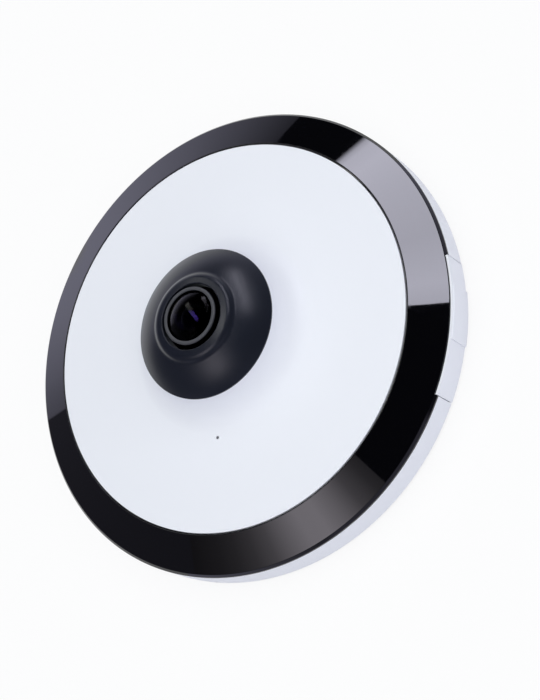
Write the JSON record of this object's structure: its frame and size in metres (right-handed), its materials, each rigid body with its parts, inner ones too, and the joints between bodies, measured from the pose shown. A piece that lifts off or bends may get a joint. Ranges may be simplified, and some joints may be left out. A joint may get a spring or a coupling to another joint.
{
  "type": "fisheye camera",
  "caption": "Low round fisheye camera with sloping black ring, flared front panel, lens shroud, twist-lock wall plate and side cable cover.",
  "frame": {"origin": "on the lens axis, in the plane of the wall or ceiling that the mounting plate is screwed to", "axes": "+Z along the lens axis, away from the wall; +X through the jack and the cable chamber towards the side cover; -Y towards the microphone"},
  "size_m": [0.1283, 0.128, 0.033],
  "materials": {
    "white_plastic": "fine satin moulded",
    "plate_plastic": "satin moulded",
    "black_gloss": "polished",
    "charcoal_plastic": "soft satin",
    "lens_metal": "black anodised",
    "lens_ring_plastic": "satin",
    "lens_glass": "coated optical",
    "inner_plastic": "matt black",
    "circuit_board": "solder mask",
    "chip_black": "moulded epoxy",
    "ceramic_package": "matt",
    "board_metal": "mill finish",
    "steel": "zinc plated",
    "gold_contact": "plated",
    "copper_wire": "enamelled winding",
    "grey_rubber": "matt",
    "filter_glass": "coated",
    "led_epoxy": "clear dome",
    "card_plastic": "moulded",
    "button_plastic": "moulded"
  },
  "bodies": {
    "wall_plate": {"mounting_plate": "plate_plastic"},
    "head": {"base_housing": "white_plastic", "cable_chamber": "white_plastic", "trim_ring": "black_gloss", "front_panel": "white_plastic", "lens_shroud": "charcoal_plastic", "lens_barrel": "lens_metal", "lens_front_ring": "lens_ring_plastic", "front_lens": "lens_glass", "second_lens": "lens_glass", "third_lens": "lens_glass", "aperture_stop": "inner_plastic", "rear_lens_pair": "lens_glass", "lens_lock_ring": "lens_metal", "lens_holder": "inner_plastic", "filter_cover": "inner_plastic", "filter_yoke": "steel", "filter_coil": "copper_wire", "chassis_plate": "board_metal", "chassis_screws": "steel", "board_standoffs": "gold_contact", "main_board": "circuit_board", "sensor_board": "circuit_board", "sensor_screws": "steel", "image_sensor": "ceramic_package", "sensor_glass": "filter_glass", "board_socket": "inner_plastic", "board_plug": "inner_plastic", "image_processor": "chip_black", "thermal_pad": "grey_rubber", "memory_chips": "chip_black", "network_transformer": "chip_black", "power_transformer": "chip_black", "power_capacitors": "board_metal", "rj45_shield": "steel", "rj45_insert": "inner_plastic", "rj45_contacts": "gold_contact", "microsd_socket": "steel", "reset_switch": "chip_black", "led_board": "circuit_board", "infrared_leds": "led_epoxy", "light_sensor": "chip_black", "microphone": "board_metal", "microphone_boot": "grey_rubber", "case_screws": "steel", "shroud_screws": "steel"},
    "cover": {"side_cover": "white_plastic"},
    "memory_card": {"microsd_card": "card_plastic"},
    "button": {"reset_button": "button_plastic"},
    "filter_slider": {"filter_frame": "inner_plastic", "ir_cut_filter": "filter_glass", "clear_filter": "filter_glass"},
    "rotor": {"filter_rotor": "steel"}
  },
  "joints": [
    {"name": "head_twist", "type": "hinge", "parent": "wall_plate", "child": "head", "pos_m": [0, 0, 0], "axis": [0, 0, 1], "range_deg": [0, 15]},
    {"name": "cover_pull", "type": "slide", "parent": "head", "child": "cover", "axis": [1, 0, 0], "range_m": [0, 0.012]},
    {"name": "card_slide", "type": "slide", "parent": "head", "child": "memory_card", "axis": [1, 0, 0], "range_m": [0, 0.012]},
    {"name": "reset_press", "type": "slide", "parent": "head", "child": "button", "axis": [0, 0, 1], "range_m": [0, 0.0003], "stiffness_N_per_m": 300},
    {"name": "filter_shift", "type": "slide", "parent": "head", "child": "filter_slider", "axis": [1, 0, 0], "range_m": [0, 0.006]},
    {"name": "rotor_swing", "type": "hinge", "parent": "head", "child": "rotor", "pos_m": [0, -0.011, 0.0143], "axis": [0, 0, -1], "range_deg": [0, 66]}
  ],
  "couplings": [
    {"joint": "rotor_swing", "follows": "filter_shift", "rad_per_m": 174.53}
  ]
}
